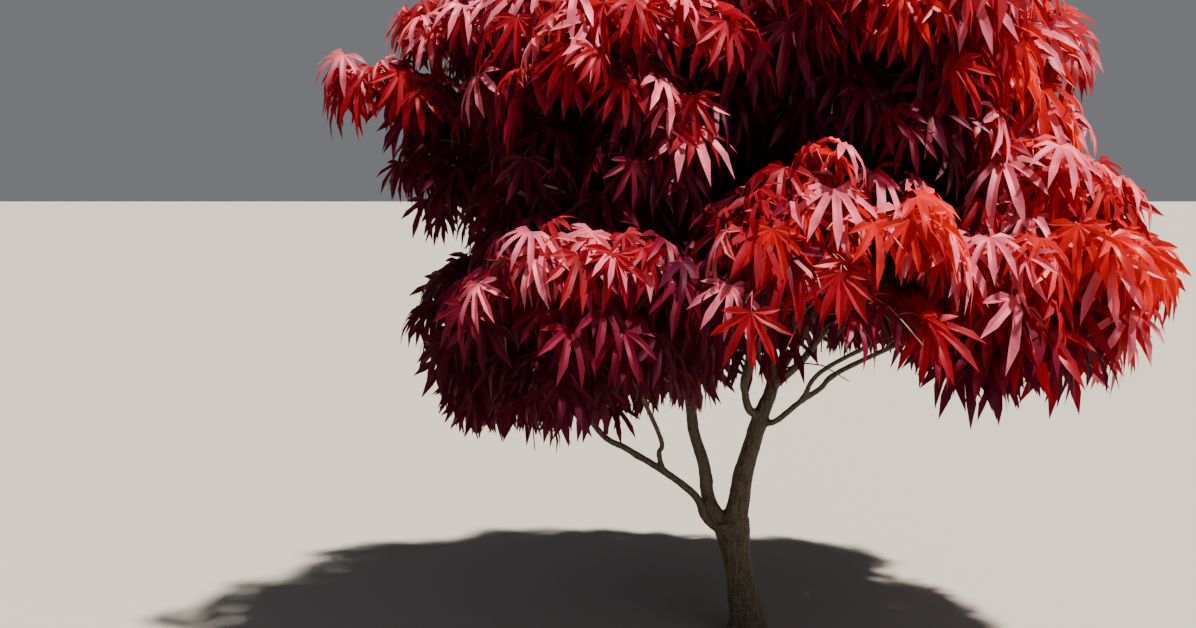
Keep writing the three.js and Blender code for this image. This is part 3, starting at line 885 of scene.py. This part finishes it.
# The leaves
# A leaf is a thin blade of seven pointed lobes round its heel, folded up a little along each lobe's rib. One
# that lies flat has its lobes arched down all round, and one that hangs steeply has them straight. Its rows
# of points are the heel, the notches between the lobes, and two or three along each lobe.
lobe_turns = [0, 33, -33, 67, -67, 106, -106]
lobe_lengths = [1, 0.95, 0.95, 0.78, 0.78, 0.48, 0.48]
lobe_length_range = (0.9, 1.08)
lobe_swing = 4
# How far a notch is from the heel, and half the angle between two lobes there, which is wider on the outer
# ones. A notch stands a little higher than the ribs, and closer in by this share.
notch = 0.21
notch_gap = 16.5
outer_gap, outer_lobe_turn = 18, 60
notch_rise = 0.05
notch_pull = 0.98
# Rows along a lobe, as shares of its length and of its width. The last two lobes are short, with a row less,
# and a shorter lobe is narrower, down to this share.
lobe_rows = [(0.47, 0.88), (0.68, 1.0), (1.0, 0.0)]
short_rows, short_lobe_turn = [(0.60, 1.0), (1.0, 0.0)], 90
lobe_half_width = 0.074
short_lobe_width = 0.45
weld_reach = 0.012


def leaf_form(curl, fold, spread, draw):
    """One leaf of unit length, with its heel at the origin, its middle lobe along X and its face up"""
    shape = bmesh.new()
    for turn, length in zip(lobe_turns, lobe_lengths):
        rows = lobe_rows if abs(turn) < short_lobe_turn else short_rows
        steps = len(rows) + 1
        made = bmesh.ops.create_grid(shape, x_segments=steps, y_segments=2, size=0.5)["verts"]
        lobe_length = length * between(draw, *lobe_length_range)
        swing = between(draw, -lobe_swing, lobe_swing)
        for vertex in made:
            row = round((vertex.co.x + 0.5) * steps)
            across = round(2 * vertex.co.y)
            if row == 0:
                spot = Vector((0, 0, 0))
            elif row == 1:
                gap = math.radians(notch_gap if abs(turn) < outer_lobe_turn else outer_gap)
                spot = Vector((notch if across == 0 else notch * notch_pull, 0, notch_rise * abs(across)))
                spot.y = notch * math.tan(gap) * across
            else:
                share, breadth = rows[row - 2]
                spot = Vector((notch + (lobe_length - notch) * (share - notch) / (1 - notch), 0, 0))
                breadth_share = short_lobe_width + (1 - short_lobe_width) * lobe_length
                spot.y = lobe_half_width * breadth * breadth_share * across
                spot.z = fold * abs(spot.y)
                spot = Matrix.Rotation(math.radians(swing * share), 3, "Z") @ spot
            vertex.co = Matrix.Rotation(math.radians(turn * spread), 3, "Z") @ spot
    bmesh.ops.remove_doubles(shape, verts=shape.verts, dist=weld_reach)
    for vertex in shape.verts:
        reach = math.hypot(vertex.co.x, vertex.co.y)
        if reach > 1e-6:
            bend = curl * reach
            pull = math.sin(bend) / bend
            lift = vertex.co.z
            vertex.co.x *= pull
            vertex.co.y *= pull
            vertex.co.z = lift * math.cos(bend) - (1 - math.cos(bend)) / curl
    bmesh.ops.triangulate(shape, faces=shape.faces)
    bmesh.ops.recalc_face_normals(shape, faces=shape.faces)
    return arrays_of(shape)


form_seed = 7
draw = seeded(form_seed)
# The arch, fold and spread of the lobes, from the flattest leaf, with the most arch, to the steepest
leaf_habits = [
    (1.45, 0.4, 1.0), (1.2, 0.6, 0.98), (1.0, 0.45, 0.95),
    (0.75, 0.6, 0.9), (0.5, 0.5, 0.82), (0.3, 0.7, 0.75),
]
leaf_forms = [leaf_form(curl, fold, spread, draw) for curl, fold, spread in leaf_habits]

# Leaf tints, as the blade's colour and the colour of light that shines through it
# The blade colours are painted light, from painted shade in wine to painted sunlight in scarlet
leaf_tints = {
    "wine": ("#34041e", "#64041e"),
    "burgundy": ("#4c041e", "#96081c"),
    "crimson": ("#700618", "#c81018"),
    "scarlet": ("#94080e", "#f0240c"),
    # A pink blade, a painted sheen
    "rose": ("#bc5c72", "#e03c40"),
}
# A thin living blade: half matt, with a faint wax that shines pink at a low angle, and light comes through.
# Its tint mottles every 29 mm. Its fine veins are 2.4 mm apart, coarser than real ones, so that they show.
mottles_per_metre = 34
dark_mottle, light_mottle = 0.62, 1.35
veins_per_metre = 420
vein_depth = 0.0006
light_through = 0.45
leaf_materials = {}
# One material for each tint: each step of painted light has its own, and so has the painted pink sheen
for name, (blade, through) in leaf_tints.items():
    material, tree = blank(f"{name}_leaf")
    place = add(tree, "TexCoord").outputs["Object"]
    mottle = add(tree, "TexNoise", {"Vector": place, "Scale": mottles_per_metre, "Detail": 3})
    tone = add(tree, "ValToRGB", {"Fac": mottle.outputs["Fac"]})
    base = linear(blade)
    tone.color_ramp.elements[0].position = 0.35
    tone.color_ramp.elements[0].color = [c * dark_mottle for c in base[:3]] + [1]
    tone.color_ramp.elements[1].position = 0.68
    tone.color_ramp.elements[1].color = [min(c * light_mottle, 1) for c in base[:3]] + [1]
    veins = add(tree, "TexNoise", {"Vector": place, "Scale": veins_per_metre, "Detail": 2})
    relief = add(tree, "Bump", {"Strength": 0.25, "Distance": vein_depth, "Height": veins.outputs["Fac"]})
    face = add(tree, "BsdfPrincipled", {
        "Base Color": tone.outputs["Color"], "Roughness": 0.42, "IOR": 1.45,
        "Specular Tint": linear("#ff96aa"), "Sheen Weight": 0.05, "Sheen Roughness": 0.4,
        "Sheen Tint": linear("#ff9aa4"), "Normal": relief.outputs["Normal"],
    })
    glow = add(tree, "BsdfTranslucent", {"Color": linear(through)})
    both = add(tree, "MixShader", {"Fac": light_through})
    tree.links.new(face.outputs["BSDF"], both.inputs[1])
    tree.links.new(glow.outputs["BSDF"], both.inputs[2])
    add(tree, "OutputMaterial", {"Surface": both.outputs["Shader"]})
    leaf_materials[name] = material


# A leaf's tint is painted light: it steps up with the light the leaf gets. It starts from the light of an
# open leaf, loses some as painted shade for each leaf between it and the sun, and gains painted sunlight
# towards the right and towards the crown's edge. Sprays differ, and so do their leaves.
cover_width = 0.036
open_light = 2.65
cover_shade = 0.19
right_light, left_limit = 0.75, -0.15
spray_contrast, leaf_contrast = 1.1, 0.7
edge_light, middle_reach = 1.6, 0.4
# Some leaves that lie open and fairly flat get a painted pink sheen, and on the right also less open ones
open_cover, right_cover = 3, 3
flat_fall = 56
painted_sheen_pick = 0.58
painted_light_steps = ["wine", "burgundy", "crimson", "scarlet"]


def cover_over(spots, toward, width):
    """How many leaves stand between each leaf and the sun, within a width of the line between them"""
    cover = []
    for spot in spots:
        apart = spots - spot
        run = apart @ toward
        aside = (apart**2).sum(axis=1) - run**2
        cover.append(int(((run > width / 2) & (aside < width**2)).sum()))
    return cover


def painted_light_tint(cover, heel, fall, tint, pick):
    """A leaf's painted light: pink sheen in the open sun, scarlet on the right, shade under other leaves"""
    light = open_light - cover_shade * cover + right_light * max(heel.x, left_limit) / crown_reach
    light = light + spray_contrast * (tint - 0.5) + leaf_contrast * (pick - 0.5)
    light += edge_light * (math.hypot(heel.x, heel.y) - middle_reach)
    most_cover = open_cover + right_cover * max(heel.x, 0) / crown_reach
    if cover <= most_cover and fall < flat_fall and pick > painted_sheen_pick:
        return "rose"
    return painted_light_steps[min(max(int(light), 0), len(painted_light_steps) - 1)]


middles = np.array([
    (heel + axes[0] * size * blade_middle)[:] for _, _, _, heel, axes, size, _ in leaf_places
])
covers = cover_over(middles, np.array((sun_place - crown_middle).normalized()[:]), cover_width)
# The leaves go into one piece for each tier and tint, so that each piece shows one step of the painted light
groups = {}
for (mass, tint, pick, heel, axes, size, fall), cover in zip(leaf_places, covers):
    key = (mass.split("_")[0], painted_light_tint(cover, heel, fall, tint, pick))
    groups.setdefault(key, []).append((heel, axes, size, fall, pick))

# Each leaf takes the form for its fall, give or take a little, and its sharp folds lie along its ribs
least_fall, fall_range = 10, 75
form_mix = 0.3
fold_angle = 28
for (tier, name), leaves in sorted(groups.items()):
    parts = []
    for heel, (down, side, face), size, fall, pick in leaves:
        basis = np.array([axis[:] for axis in (down, -side, face)])
        steepness = (fall - least_fall) / fall_range + form_mix * (pick * 13 % 1 - 0.5)
        vertices, triangles = leaf_forms[min(max(int(steepness * len(leaf_forms)), 0), len(leaf_forms) - 1)]
        parts.append((np.array(heel[:]) + size * vertices @ basis, triangles))
    piece = joined(f"leaves_{tier}_{name}", parts, leaf_materials[name])
    piece.data.set_sharp_from_angle(angle=math.radians(fold_angle))
    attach(piece, "root")
    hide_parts(*[f"foliage_{mass}" for mass in masses if mass.startswith(tier)])
